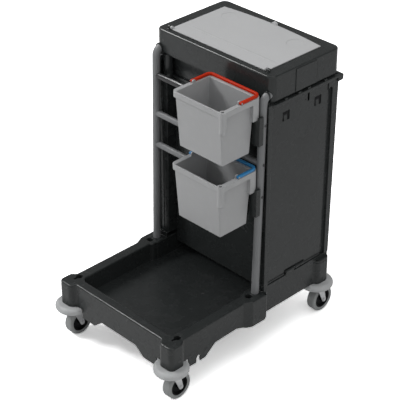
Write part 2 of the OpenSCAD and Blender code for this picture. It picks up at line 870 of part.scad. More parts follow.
// Sloping tongue in a snap window
module window_tongue(y) {
    back = door_x - window_deep - 0.5;
    slab_y(y - window_w / 4, y + window_w / 6)
        polygon([[back, window_z - 0.5], [door_x - seat_gap, window_z - 0.5],
            [door_x - window_deep, window_z + 0.85 * window_w], [back, window_z + 0.85 * window_w]]);
}

module hood_columns() {
    color(charcoal) placed() both_sides()
        translate([pillar_x + column_leg_r - 6, column_leg_y, pillar_top])
            cylinder(r = column_leg_r, h = hood_low - pillar_top);
}

module push_handle() {
    r = 7;
    color(charcoal) placed() translate([-side_x - ledge_proud, 0, 0]) rotate([90, 0, 90])
        linear_extrude(2 * (side_x + ledge_proud))
            polygon(concat(
                [[cabinet_rear + handle_lap, ledge_top - ledge_t], [cabinet_rear, ledge_top - ledge_t],
                    [cabinet_rear, ledge_top - handle_h]],
                arc([cabinet_rear + handle_depth - r, ledge_top - handle_h + r], r, 270, 360),
                arc([cabinet_rear + handle_depth - r, ledge_top - r], r, 0, 90),
                [[cabinet_rear + handle_lap, ledge_top]]));
}

// Hood and lid

module hood_outline(inset) {
    polygon(round_rect(-side_x + inset, hood_front + inset, side_x - inset, hood_rear - inset,
        hood_round - inset));
}

module hood() {
    steps = 4;
    color(charcoal) placed() difference() {
        union() {
            difference() {
                hull() {
                    slab(hood_low, hood_low + 1) hood_outline(0);
                    for (i = [0:steps]) let (a = 90 * i / steps)
                        slab(hood_top - hood_edge, hood_top - hood_edge * (1 - sin(a)) + (i == 0 ? 0.01 : 0))
                            hood_outline(hood_edge * (1 - cos(a)));
                }
                slab(hood_low + hood_wall, hood_top - lid_recess - hood_wall) hood_outline(hood_wall);
                slab(hood_top - lid_recess, hood_top + cut_over)
                    lid_outline(lid_clear, tab_r + 2 * lid_clear);
                slab(hood_low + 2 * hood_wall, hood_top) lid_outline(-hood_opening, 0);
                box(-lid_half - lid_clear + 8, lid_half + lid_clear - 8, lid_front - lid_clear,
                    lid_axis_y + 10, hood_top - lid_recess - 1.2, hood_top);
                box(-side_x - cut_over, side_x + cut_over, hood_front - cut_over, step_y,
                    hood_low - cut_over, hood_low + hood_step_h);
                // Seams behind the latch plates
                both_sides() box(side_x - seam_deep, side_x + cut_over, plate_y + plate_l,
                    plate_y + plate_l + seam_w, hood_low + seam_end, hood_top - seam_end);
            }
            // Wall and shelf behind the step in the hood's front
            intersection() {
                slab(hood_low, hood_low + hood_step_h + hood_wall) hood_outline(1);
                union() {
                    box(-side_x, side_x, step_y, step_y + hood_wall, hood_low,
                        hood_low + hood_step_h + hood_wall);
                    box(-side_x, side_x, hood_front, step_y + hood_wall, hood_low + hood_step_h,
                        hood_low + hood_step_h + hood_wall);
                }
            }
            both_sides() {
                rod_x(lug_in, lug_in + lug_t, lid_axis_y, lid_axis_z, ear_r);
                box(lug_in, lug_in + lug_t, lid_axis_y - ear_r, lid_axis_y + ear_r, hood_top - 1,
                    lid_axis_z);
            }
        }
        for (s = [-1, 1]) post_path(s, post_r + run_fit);
        rod_x(-lug_in - lug_t - cut_over, lug_in + lug_t + cut_over, lid_axis_y, lid_axis_z,
            lid_pin_d / 2);
    }
}

module lid_outline(grow, tab) {
    x = lid_half + grow;
    y0 = lid_front - grow;
    y1 = lid_rear + grow;
    bow_r = (x * x + lid_bow * lid_bow) / (2 * lid_bow);
    sweep = asin(x / bow_r);
    polygon(concat([[x, y1]], arc([0, y1 + lid_bow - bow_r], bow_r, 90 - sweep, 90 + sweep, 16),
        arc([-x + 8, y0 + 8], 8, 180, 270), arc([x - 8, y0 + 8], 8, 270, 360)));
    if (tab > 0) translate([0, y1 + lid_bow - 5]) circle(r = tab);
}

module lid() {
    tab_y = lid_rear + lid_bow;
    color(light_grey) placed() difference() {
        union() {
            difference() {
                slab(lid_low, lid_high) lid_outline(0, tab_r);
                for (s = [-1, 1]) translate([s * disc_x, lid_rear - disc_back, lid_high - disc_deep])
                    cylinder(r = disc_r, h = 2 * disc_deep);
            }
            both_sides() {
                rod_x(ear_in, ear_in + ear_t, lid_axis_y, lid_axis_z, ear_r);
                box(ear_in, ear_in + ear_t, lid_axis_y - ear_r / 2, lid_axis_y + ear_r, lid_high - 1,
                    lid_axis_z);
            }
            // Round finger tab that stands up at the rear edge
            intersection() {
                rod_y(0, tab_y - tab_t / 2, tab_y + tab_t / 2, lid_high + tab_up - tab_r + 2, tab_r - 2);
                box(-tab_r, tab_r, tab_y - tab_r, tab_y + tab_r, lid_low, lid_high + tab_r);
            }
        }
        rod_x(-lid_half, lid_half, lid_axis_y, lid_axis_z, lid_pin_d / 2 + run_fit);
    }
}

module lid_hinge_pins() {
    color(zinc) placed() both_sides()
        rod_x(ear_in - 1, lug_in + lug_t + 1, lid_axis_y, lid_axis_z, lid_pin_d / 2);
}

module latch_plate(side) {
    z = hood_low + 1;
    color(charcoal) placed() on_side(side) translate([side_x, 0, 0]) rotate([90, 0, 90])
        linear_extrude(plate_t)
            polygon(round_rect(plate_y, z, plate_y + plate_l, z + plate_h - hood_edge, 3));
}

// Buckets, their handles and hangers

module bucket_prism(z0, z1, inset) {
    hull() {
        slab(z0, z0 + 0.01) body_outline(inset, 1 - z0 / bucket_h);
        slab(z1 - 0.01, z1) body_outline(inset, 1 - z1 / bucket_h);
    }
}

module body_outline(inset, lean) {
    x = bucket_x_half - band_side - inset - lean * side_taper;
    polygon(round_rect(-x, body_front + inset + lean * bucket_taper, x,
        body_rear - inset - lean * bucket_taper, body_round));
}

module rim_outline(inset) {
    polygon(round_rect(-bucket_x_half + inset, -bucket_y_half + inset, bucket_x_half - inset,
        bucket_y_half - inset, bucket_round - inset));
}

module bucket(rail_z) {
    z_hook = bucket_h - hook_h;
    hole_x = bucket_x_half + pillar_out - pillar_r;
    hole_y = -bucket_y_half - pillar_out + pillar_r;
    cheek_y = bucket_y_half - cheek_l;
    color(bucket_grey) placed() translate(bucket_place(rail_z)) {
        difference() {
            union() {
                difference() {
                    union() {
                        bucket_prism(0, bucket_h, 0);
                        difference() {
                            slab(bucket_h - band_h, bucket_h) rim_outline(0);
                            slab(bucket_h - band_h - cut_over, bucket_h - band_t) rim_outline(band_t);
                        }
                        difference() {
                            slab(z_hook, bucket_h) rim_outline(0);
                            slab(z_hook - cut_over, bucket_h - band_t) rim_outline(band_t);
                            box(-bucket_w, bucket_w, -bucket_l, cheek_y, z_hook - cut_over,
                                bucket_h - band_h);
                        }
                        // Fronts of the cheeks
                        both_sides() box(bucket_x_half - band_side - side_taper, bucket_x_half, cheek_y,
                            cheek_y + band_t, z_hook, bucket_h - band_t / 2);
                    }
                    bucket_prism(bucket_floor, bucket_h + cut_over, bucket_wall);
                }
                // Corner pillar with the hole for a label holder
                translate([hole_x, hole_y, bucket_h - pillar_h]) cylinder(r = pillar_r, h = pillar_h);
            }
            translate([hole_x, hole_y, bucket_h - pillar_h + bucket_wall])
                cylinder(r = pillar_hole_r, h = pillar_h);
            // Small marks in the rim's edge
            for (x = rim_marks) box(x - rim_mark_w / 2, x + rim_mark_w / 2, -bucket_y_half - cut_over,
                -bucket_y_half + rim_mark_h / 2, bucket_h - rim_mark_h, bucket_h + cut_over);
            box(bucket_x_half - rim_mark_h / 2, bucket_x_half + cut_over, rim_mark_side - rim_mark_w / 2,
                rim_mark_side + rim_mark_w / 2, bucket_h - rim_mark_h, bucket_h + cut_over);
        }
        // Ears with the pins that the handle turns on
        both_sides() {
            rod_x(bail_ear_x, bail_ear_x + bail_ear_t, pivot_y, pivot_z, bail_ear_r);
            box(bail_ear_x, bail_ear_x + bail_ear_t, pivot_y - bail_ear_r, pivot_y + bail_ear_r,
                bucket_h - band_t, pivot_z);
            rod_x(bail_ear_x + 1, bucket_x_half, pivot_y, pivot_z, pivot_d / 2);
        }
    }
}

module handle(rail_z, shade) {
    arm = grip_t / 2;
    color(shade) placed() translate(bucket_place(rail_z)) translate([0, pivot_y, pivot_z])
        difference() {
            union() {
                both_sides() {
                    rod_x(grip_x - arm, grip_x + arm, 0, 0, arm);
                    box(grip_x - arm, grip_x + arm, 0, grip_reach, -arm, arm);
                }
                box(-grip_x + arm, grip_x - arm, grip_reach - arm, grip_reach + arm, -arm, arm);
                both_sides() translate([grip_x, grip_reach, -arm]) cylinder(r = arm, h = grip_t);
            }
            rod_x(-bucket_w, bucket_w, 0, 0, pivot_d / 2 + run_fit);
        }
}

module bucket_hanger(rail_z) {
    place = bucket_place(rail_z);
    y_back = post_at_y(rail_z) - post_r + 2;
    rail_y = post_at_y(rail_z);
    tongue_y = place[1] + body_rear + tongue_in;
    tongue_x = bucket_x_half - band_t - 6;
    skirt_z = place[2] + bucket_h - hook_h;
    clip_out = post_at_x(rail_z) + post_r + 2;
    clip_in = clip_out - 30;
    clip_y = tongue_y - 4;
    clip_low = rail_z - 66;
    hook_top = rail_z + rail_d / 2 + 6;
    color(charcoal) placed() difference() {
        union() {
            // Tongue that the bucket's hook rests on
            box(place[0] - tongue_x, place[0] + tongue_x, tongue_y, tongue_y + tongue_t, clip_low,
                place[2] + bucket_h - band_t - seat_gap);
            // Saddle over the rail
            box(place[0] - tongue_x, place[0] + tongue_x - 20, tongue_y, rail_y + rail_d / 2 + 4,
                rail_z, hook_top);
            // Clip round the front half of the post
            box(clip_in, clip_out, clip_y, y_back, clip_low, skirt_z - seat_gap);
            box(clip_out - 8, clip_out, clip_y, y_back, clip_low, skirt_z + 10);
        }
        post_path(1, post_r + run_fit);
        rod_x(-base_w, base_w, rail_y, rail_z, rail_d / 2 + run_fit);
        box(place[0] + tongue_x, clip_out - 8, clip_y - cut_over, y_back + cut_over,
            skirt_z - seat_gap, bucket_h + rail_z);
    }
}

base_tray();
bumper(0);  // bumper_front_left
bumper(1);  // bumper_front_right
bumper(2);  // bumper_rear_left
bumper(3);  // bumper_rear_right
castor_bushes();
castor_housings();
post(-1);  // post_left
post(1);  // post_right
rail(rail_upper_z, black);  // rail_upper
rail(rail_middle_z, tube_grey);  // rail_middle
rail(rail_lower_z, tube_grey);  // rail_lower
rail_screws();
post_collars();
front_panel();
rear_panel();
side_frame(-1);  // side_frame_left
side_frame(1);  // side_frame_right
hood_columns();
push_handle();
hood();
latch_plate(-1);  // latch_plate_left
latch_plate(1);  // latch_plate_right
lid_hinge_pins();
door_hinge_pins();
bucket_hanger(rail_upper_z);  // bucket_hanger_upper
bucket_hanger(rail_lower_z);  // bucket_hanger_lower
tray_screws();
lid();
door(-1);  // door_left
door(1);  // door_right
bucket(rail_upper_z);  // bucket_upper
bucket(rail_lower_z);  // bucket_lower
handle(rail_upper_z, red);  // handle_upper
handle(rail_lower_z, blue);  // handle_lower
fork(0);  // fork_front_left
fork(1);  // fork_front_right
fork(2);  // fork_rear_left
fork(3);  // fork_rear_right
axle(0);  // axle_front_left
axle(1);  // axle_front_right
axle(2);  // axle_rear_left
axle(3);  // axle_rear_right
hub(0);  // hub_front_left
hub(1);  // hub_front_right
hub(2);  // hub_rear_left
hub(3);  // hub_rear_right
tyre(0);  // tyre_front_left
tyre(1);  // tyre_front_right
tyre(2);  // tyre_rear_left
tyre(3);  // tyre_rear_right
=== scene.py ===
"""Looks for the janitor cart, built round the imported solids. Metres, in the solids' frame."""

import json
import math

import bmesh
import bpy
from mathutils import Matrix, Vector


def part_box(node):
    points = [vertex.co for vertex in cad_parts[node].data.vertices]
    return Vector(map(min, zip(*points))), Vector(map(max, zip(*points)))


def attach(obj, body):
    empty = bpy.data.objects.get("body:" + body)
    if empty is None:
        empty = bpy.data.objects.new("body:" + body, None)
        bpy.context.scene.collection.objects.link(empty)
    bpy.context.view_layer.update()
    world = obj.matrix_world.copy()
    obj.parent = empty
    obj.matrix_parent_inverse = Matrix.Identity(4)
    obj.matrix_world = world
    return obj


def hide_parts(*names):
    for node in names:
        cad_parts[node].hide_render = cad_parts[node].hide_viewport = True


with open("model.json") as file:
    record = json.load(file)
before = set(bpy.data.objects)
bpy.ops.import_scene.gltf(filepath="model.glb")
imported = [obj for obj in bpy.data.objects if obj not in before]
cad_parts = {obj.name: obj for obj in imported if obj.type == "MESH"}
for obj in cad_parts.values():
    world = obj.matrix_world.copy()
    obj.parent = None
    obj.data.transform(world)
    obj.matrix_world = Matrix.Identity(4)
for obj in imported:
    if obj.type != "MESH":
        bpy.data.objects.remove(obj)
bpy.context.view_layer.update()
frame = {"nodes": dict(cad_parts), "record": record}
NODES = frame["nodes"]
SLOTS = {p["node"]: p["material_slot"] for p in frame["record"]["subparts"]}
SCENE = bpy.context.scene
CORNERS = ("front_left", "front_right", "rear_left", "rear_right")
MM = 0.001


def direction(azimuth, elevation):
    """Unit vector away from the object: azimuth 0 is the front, 90 the right side."""
    a = math.radians(azimuth)
    e = math.radians(elevation)
    return Vector((math.sin(a) * math.cos(e), -math.cos(a) * math.cos(e), math.sin(e)))


# Camera, as fitted to the photograph

CAMERA_AZIMUTH = 45.6
CAMERA_ELEVATION = 31.6
CAMERA_DISTANCE = 4.92
CAMERA_TARGET = Vector((0.0045, 0.0112, 0.5103))
CAMERA_LENS = 129.14
SENSOR_WIDTH = 36.0
VIEW_END = 60.0


def add_camera():
    back = direction(CAMERA_AZIMUTH, CAMERA_ELEVATION)
    data = bpy.data.cameras.new("camera")
    data.lens = CAMERA_LENS
    data.sensor_width = SENSOR_WIDTH
    data.clip_end = VIEW_END
    cam = bpy.data.objects.new("camera", data)
    cam.location = CAMERA_TARGET + back * CAMERA_DISTANCE
    cam.rotation_euler = (-back).to_track_quat("-Z", "Y").to_euler()
    SCENE.collection.objects.link(cam)
    SCENE.camera = cam


# Materials

# The range that holds most of a noise
NOISE_LOW = 0.3
NOISE_HIGH = 0.7
BEVEL_SAMPLES = 6
# Noises: scale, detail and, where it isn't the usual, roughness
DRIFT = (7.0, 2.0)
SCUFFS = (40.0, 1.5)
SHEEN = (22.0, 2.0)
SWELL = (14.0, 1.0)
GRAIN = (420.0, 1.0)
RUBBER_TONE = (30.0, 6.0, 0.65)
RUBBER_SHEEN = (80.0, 4.0)
COAT_TONE = (9.0, 4.0)
COAT_SHEEN = (40.0, 4.0)
ZINC_TONE = (45.0, 5.0)
ZINC_BRUSH = (260.0, 4.0, 0.6)
BRUSH_STRETCH = (1.0, 1.0, 0.08)
# Heights of the reliefs
SWELL_HEIGHT = 0.0006
RUBBER_GRAIN = 0.00006
COAT_PEEL = 0.00005
BRUSH_DEPTH = 0.0001


def scaled(colour, k):
    return tuple(c * k for c in colour)


class Shader:
    """A Principled material with short helpers for its nodes."""

    def __init__(self, name, colour, rough, metal=0.0, specular=0.5):
        self.colour = colour
        self.rough = rough
        self.mat = bpy.data.materials.new(name)
        self.mat.use_nodes = True
        self.tree = self.mat.node_tree
        self.tree.nodes.clear()
        out = self.node("OutputMaterial")
        self.bsdf = self.node("BsdfPrincipled")
        self.tree.links.new(self.bsdf.outputs[0], out.inputs[0])
        self.bsdf.inputs["Base Color"].default_value = (*colour, 1.0)
        self.bsdf.inputs["Roughness"].default_value = rough
        self.bsdf.inputs["Metallic"].default_value = metal
        self.bsdf.inputs["Specular IOR Level"].default_value = specular
        self.coords = self.node("TexCoord").outputs["Object"]

    def node(self, kind, **values):
        n = self.tree.nodes.new("ShaderNode" + kind)
        for key, value in values.items():
            setattr(n, key, value)
        return n

    def link(self, a, b):
        self.tree.links.new(a, b)

    def feed(self, socket, source):
        self.link(source, self.bsdf.inputs[socket])

    def noise(self, scale, detail=3.0, rough=0.5, stretch=None):
        n = self.node("TexNoise")
        n.inputs["Scale"].default_value = scale
        n.inputs["Detail"].default_value = detail
        n.inputs["Roughness"].default_value = rough
        source = self.coords
        if stretch:
            m = self.node("Mapping")
            m.inputs["Scale"].default_value = stretch
            self.link(source, m.inputs["Vector"])
            source = m.outputs["Vector"]
        self.link(source, n.inputs["Vector"])
        return n.outputs["Fac"]

    def span(self, source, low, high, to_low, to_high):
        n = self.node("MapRange")
        n.inputs["From Min"].default_value = low
        n.inputs["From Max"].default_value = high
        n.inputs["To Min"].default_value = to_low
        n.inputs["To Max"].default_value = to_high
        self.link(source, n.inputs["Value"])
        return n.outputs["Result"]

    def spread(self, noise, to_low, to_high):
        """Spreads the middle of a noise over a range."""
        return self.span(noise, NOISE_LOW, NOISE_HIGH, to_low, to_high)

    def mix(self, factor, a, b):
        n = self.node("Mix", data_type="RGBA")
        self.link(factor, n.inputs["Factor"])
        # The sockets of the node's colour form
        for value, socket in ((a, n.inputs[6]), (b, n.inputs[7])):
            if isinstance(value, tuple):
                socket.default_value = (*value, 1.0)
            else:
                self.link(value, socket)
        return n.outputs[2]

    def most(self, a, b):
        n = self.node("Math", operation="MAXIMUM")
        self.link(a, n.inputs[0])
        self.link(b, n.inputs[1])
        return n.outputs[0]

    def tones(self, noise, dark, light):
        """The colour, drifting between a darker and a lighter tone."""
        return self.mix(self.spread(noise, 0.0, 1.0), scaled(self.colour, dark), scaled(self.colour, light))

    def gloss(self, noise, swing):
        """Lets the roughness wander about its mean."""
        self.feed("Roughness", self.spread(noise, self.rough - swing, self.rough + swing))

    def rounded(self, radius):
        """A normal that runs smoothly over the sharp edges."""
        n = self.node("Bevel", samples=BEVEL_SAMPLES)
        n.inputs["Radius"].default_value = radius
        return n.outputs["Normal"]

    def bump(self, height, distance, strength=1.0, under=None):
        n = self.node("Bump")
        n.inputs["Distance"].default_value = distance
        n.inputs["Strength"].default_value = strength
        self.link(height, n.inputs["Height"])
        if under:
            self.link(under, n.inputs["Normal"])
        return n.outputs["Normal"]


def moulded(name, colour, rough, specular=0.5, scuff=1.35, blotch=0.06, radius=0.003, wave=0.08,
            depth=0.00001):
    """Moulded plastic: fine grain, slow colour drift, faint pale scuffs and softly rounded edges."""
    s = Shader(name, colour, rough, specular=specular)
    drift = s.tones(s.noise(*DRIFT), 1 - blotch, 1 + blotch)
    worn = s.span(s.noise(*SCUFFS), 0.55, 0.8, 0.0, 0.5)
    s.feed("Base Color", s.mix(worn, drift, scaled(colour, scuff)))
    s.gloss(s.noise(*SHEEN), 0.05)
    swell = s.bump(s.noise(*SWELL), SWELL_HEIGHT, wave, s.rounded(radius))
    s.feed("Normal", s.bump(s.noise(*GRAIN), depth, 0.5, swell))
    return s.mat


def rubber(name, colour, rough):
    """Matt rubber with uneven tone and a fine grain."""
    s = Shader(name, colour, rough, specular=0.3)
    s.feed("Base Color", s.tones(s.noise(*RUBBER_TONE), 0.86, 1.1))
    s.gloss(s.noise(*RUBBER_SHEEN), 0.08)
    s.feed("Normal", s.bump(s.noise(*GRAIN), RUBBER_GRAIN, 0.5))
    return s.mat


def powder_coat(name, colour, rough, specular):
    """Coated steel tube with the coat's slight orange peel."""
    s = Shader(name, colour, rough, specular=specular)
    s.feed("Base Color", s.tones(s.noise(*COAT_TONE), 0.93, 1.06))
    s.gloss(s.noise(*COAT_SHEEN), 0.05)
    s.feed("Normal", s.bump(s.noise(*GRAIN), COAT_PEEL, 0.35))
    return s.mat


def plated(name, colour, rough):
    """Zinc-plated steel, brushed along its height."""
    s = Shader(name, colour, rough, metal=1.0)
    brushed = s.noise(*ZINC_BRUSH, stretch=BRUSH_STRETCH)
    s.feed("Base Color", s.tones(s.noise(*ZINC_TONE), 0.82, 1.1))
    s.gloss(brushed, 0.1)
    s.feed("Normal", s.bump(brushed, BRUSH_DEPTH, 0.4))
    return s.mat


PLASTICS = {
    "charcoal_plastic": dict(colour=(0.026, 0.029, 0.029), rough=0.26, specular=0.36, radius=0.002,
                             wave=0.01, depth=0.000002),
    "black_plastic": dict(colour=(0.011, 0.011, 0.012), rough=0.40, specular=0.4),
    "dull_black": dict(colour=(0.005, 0.005, 0.006), rough=0.55, specular=0.15),
    "lid_plastic": dict(colour=(0.515, 0.52, 0.525), rough=0.65, specular=0.08, scuff=1.05,
                        blotch=0.015, wave=0.02),
    "bucket_plastic": dict(colour=(0.395, 0.40, 0.405), rough=0.36, scuff=1.1, blotch=0.015, wave=0.03),
    "red_plastic": dict(colour=(0.53, 0.026, 0.004), rough=0.40, specular=0.12, scuff=1.1),
    "blue_plastic": dict(colour=(0.03, 0.22, 0.48), rough=0.36, specular=0.4, scuff=1.1),
}
MATERIALS = {name: moulded(name, **values) for name, values in PLASTICS.items()}
MATERIALS["grey_tube"] = powder_coat("grey_tube", (0.205, 0.21, 0.215), 0.46, 0.4)
MATERIALS["black_tube"] = powder_coat("black_tube", (0.03, 0.03, 0.032), 0.32, 0.5)
MATERIALS["zinc"] = plated("zinc", (0.66, 0.67, 0.68), 0.34)
MATERIALS["grey_rubber"] = rubber("grey_rubber", (0.51, 0.52, 0.525), 0.5)
MATERIALS["tyre_rubber"] = rubber("tyre_rubber", (0.34, 0.35, 0.35), 0.6)


# Solids that stay: their facets are joined, their edges rounded

SHARP_EDGE = 31.0
BEVEL_FROM = 32.0
FLAT_WITHIN = 0.4
WELD_WITHIN = 0.00002
# Least turn, in radians, of an edge that gets the wide rounding
RIM_TURN = 0.9
LEVEL_WITHIN = 0.0002


def mesh_group(name):
    """An empty node group that takes a mesh and gives one back."""
    group = bpy.data.node_groups.new(name, "GeometryNodeTree")
    for way in ("INPUT", "OUTPUT"):
        group.interface.new_socket("Geometry", in_out=way, socket_type="NodeSocketGeometry")
    start = group.nodes.new("NodeGroupInput").outputs[0]
    end = group.nodes.new("NodeGroupOutput").inputs[0]
    return group, start, end


def math_node(group, kind, *values):
    n = group.nodes.new("ShaderNodeMath")
    n.operation = kind
    for socket, value in zip(n.inputs, values):
        if isinstance(value, (int, float)):
            socket.default_value = value
        else:
            group.links.new(value, socket)
    return n.outputs[0]


def shade_smooth_group():
    """Shades the faces smooth and keeps the edges with a large turn sharp."""
    group, start, end = mesh_group("smooth_faces")
    smooth = group.nodes.new("GeometryNodeSetShadeSmooth")
    group.links.new(start, smooth.inputs[0])
    turn = group.nodes.new("GeometryNodeInputMeshEdgeAngle").outputs["Unsigned Angle"]
    crease = group.nodes.new("GeometryNodeSetShadeSmooth")
    crease.domain = "EDGE"
    crease.inputs["Shade Smooth"].default_value = False
    sharp = math_node(group, "GREATER_THAN", turn, math.radians(SHARP_EDGE))
    group.links.new(sharp, crease.inputs["Selection"])
    group.links.new(smooth.outputs[0], crease.inputs[0])
    group.links.new(crease.outputs[0], end)
    return group


def rim_group(levels, holes):
    """Marks the convex edges that lie at the given heights, away from the holes, for a wide rounding."""
    group, start, end = mesh_group("rim_edges")
    split = group.nodes.new("ShaderNodeSeparateXYZ")
    group.links.new(group.nodes.new("GeometryNodeInputPosition").outputs[0], split.inputs[0])
    x, y, z = split.outputs
    side = math_node(group, "ABSOLUTE", x)
    turn = group.nodes.new("GeometryNodeInputMeshEdgeAngle").outputs["Signed Angle"]
    near = 0.0
    for level in levels:
        gap = math_node(group, "ABSOLUTE", math_node(group, "SUBTRACT", z, level))
        near = math_node(group, "MAXIMUM", near, math_node(group, "LESS_THAN", gap, LEVEL_WITHIN))
    weight = math_node(group, "MULTIPLY", near, math_node(group, "GREATER_THAN", turn, RIM_TURN))
    for hole_x, hole_y, hole_r in holes:
        across = math_node(group, "POWER", math_node(group, "SUBTRACT", side, hole_x), 2.0)
        along = math_node(group, "POWER", math_node(group, "SUBTRACT", y, hole_y), 2.0)
        clear = math_node(group, "GREATER_THAN", math_node(group, "ADD", across, along), hole_r ** 2)
        weight = math_node(group, "MULTIPLY", weight, clear)
    store = group.nodes.new("GeometryNodeStoreNamedAttribute")
    store.domain = "EDGE"
    store.inputs["Name"].default_value = "bevel_weight_edge"
    group.links.new(weight, store.inputs["Value"])
    group.links.new(start, store.inputs["Geometry"])
    group.links.new(store.outputs[0], end)
    return group


def dress(name, width, rim=None, rim_width=0.0):
    """Gives a solid its material and rounded edges, and a wider rounding where a rim group marks them."""
    o = NODES[name]
    o.data.materials.clear()
    o.data.materials.append(MATERIALS[SLOTS[name]])
    weld = o.modifiers.new("weld", "WELD")
    weld.merge_threshold = WELD_WITHIN
    if rim:
        o.modifiers.new("rim_edges", "NODES").node_group = rim
        wide = o.modifiers.new("rim", "BEVEL")
        wide.width = rim_width
        wide.segments = 5
        wide.limit_method = "WEIGHT"
        wide.use_clamp_overlap = False
    else:
        flat = o.modifiers.new("flat", "DECIMATE")
        flat.decimate_type = "DISSOLVE"
        flat.angle_limit = math.radians(FLAT_WITHIN)
    bevel = o.modifiers.new("bevel", "BEVEL")
    bevel.width = width
    bevel.segments = 3
    bevel.limit_method = "ANGLE"
    bevel.angle_limit = math.radians(BEVEL_FROM)
    bevel.use_clamp_overlap = True
    bevel.miter_outer = "MITER_ARC"
    o.modifiers.new("smooth", "NODES").node_group = SMOOTH
    normal = o.modifiers.new("normal", "WEIGHTED_NORMAL")
    normal.keep_sharp = True


SMOOTH = shade_smooth_group()
BEVELS = {
    "base_tray": 0.001, "hood": 0.002, "lid": 0.0022, "front_panel": 0.0015, "rear_panel": 0.0015,
    "side_frame_left": 0.0018, "side_frame_right": 0.0018, "door_left": 0.0014, "door_right": 0.0014,
    "bucket_upper": 0.0016, "bucket_lower": 0.0016, "handle_upper": 0.004, "handle_lower": 0.004,
    "push_handle": 0.003, "latch_plate_left": 0.002, "latch_plate_right": 0.002, "hood_columns": 0.001,
    "bucket_hanger_upper": 0.0015, "bucket_hanger_lower": 0.0015,
}
SMALL_BEVEL = 0.0008
# Heights of the rim and of the rear bosses, and the holes in them: side, along and radius
RIM_LEVELS = (0.233, 0.242)
RIM_HOLES = (
    (0.248, 0.0046, 0.016), (0.248, -0.3308, 0.015), (0.248, -0.345, 0.0135), (0.2470, 0.0379, 0.017),
)
RIM_ROUND = 0.005
for node in NODES:
    if node == "base_tray":
        dress(node, BEVELS[node], rim_group(RIM_LEVELS, RIM_HOLES), RIM_ROUND)
    else:
        dress(node, BEVELS.get(node, SMALL_BEVEL))


# Pieces that replace a solid or stand on one


def new_piece(name, bm, material, body, nodes=(), sharp=35.0):
    """Turns a bmesh into a piece that rides on a body, and hides the solids it stands for."""
    bmesh.ops.recalc_face_normals(bm, faces=bm.faces)
    mesh = bpy.data.meshes.new(name)
    bm.to_mesh(mesh)
    bm.free()
    for p in mesh.polygons:
        p.use_smooth = True
    mesh.set_sharp_from_angle(angle=math.radians(sharp))
    mesh.materials.append(MATERIALS[material])
    piece = bpy.data.objects.new(name, mesh)
    SCENE.collection.objects.link(piece)
    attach(piece, body)
    if nodes:
        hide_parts(*nodes)


def join_rows(bm, a, b):
    for j in range(len(a)):
        k = (j + 1) % len(a)
        bm.faces.new((a[j], a[k], b[k], b[j]))


def add_loops(bm, loops, ring=False):
    """Skins a row of point loops of equal length, into a ring or with closed ends."""
    rows = [[bm.verts.new(p) for p in loop] for loop in loops]
    for a, b in zip(rows, rows[1:]):
        join_rows(bm, a, b)
    if ring:
        join_rows(bm, rows[-1], rows[0])
    else:
        bm.faces.new(rows[0])
        bm.faces.new(rows[-1])


def lathe(bm, profile, centre, steps=96):
    """Turns a closed profile of (radius, along) points round the X axis through centre."""
    loops = []
    for i in range(steps):
        t = 2 * math.pi * i / steps
        loops.append([centre + Vector((along, r * math.cos(t), r * math.sin(t))) for r, along in profile])
    add_loops(bm, loops, ring=True)


def arc(cx, cy, r, a0, a1, n):
    points = []
    for i in range(n + 1):
        t = math.radians(a0 + (a1 - a0) * i / n)
        points.append((cx + r * math.cos(t), cy + r * math.sin(t)))
    return points


def middle(node):
    low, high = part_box(node)
    return (Vector(low) + Vector(high)) / 2


def mirrored(half):
    """A profile given on the +X side, completed on the -X side."""
    return half + [(r, -along) for r, along in reversed(half)]


def mm(points):
    return [(a * MM, b * MM) for a, b in points]


# Profiles of the wheel in millimetres: radius and distance from its middle
TYRE_TREAD = [(49.9, 0.0), (49.9, 6.0)]
TYRE_SHOULDER = arc(44.0, 11.5, 6.0, 0, 90, 10)[1:]
TYRE_SIDE = [
    (42.6, 17.5), (42.2, 16.9), (41.4, 16.9), (41.0, 17.5), (38.4, 17.4), (36.6, 16.7), (36.0, 16.0),
]
HUB_SIDE = [
    (4.05, 20.7), (9.4, 20.7), (10.0, 20.0), (10.6, 9.0), (12.0, 7.6), (21.5, 6.8), (22.0, 7.6),
    (24.0, 7.6), (24.6, 6.6), (28.6, 6.2), (30.2, 7.6), (31.2, 14.6), (32.2, 15.5), (35.0, 15.5),
    (35.9, 14.8),
]


def add_wheel(corner):
    """Tyre with rounded shoulders on a dished hub."""
    body = "wheel_" + corner
    bm = bmesh.new()
    lathe(bm, mm(mirrored(TYRE_TREAD + TYRE_SHOULDER + TYRE_SIDE)[1:]), middle("tyre_" + corner))
    new_piece("tyre_skin_" + corner, bm, "tyre_rubber", body, ["tyre_" + corner])
    bm = bmesh.new()
    lathe(bm, mm(mirrored(HUB_SIDE)), middle("hub_" + corner))
    new_piece("hub_dish_" + corner, bm, "dull_black", body, ["hub_" + corner], 40.0)


def rounded_section(width, height, r, n=4):
    w = width / 2
    h = height / 2
    return (arc(w - r, h - r, r, 0, 90, n) + arc(-w + r, h - r, r, 90, 180, n)
            + arc(-w + r, -h + r, r, 180, 270, n) + arc(w - r, -h + r, r, 270, 360, n))


BAIL_TURN = 0.016
BAIL_ROUND = 0.0028
EYE_LENGTH = 0.012
EYE_ANGLES = (80, 65, 48, 30, 14)


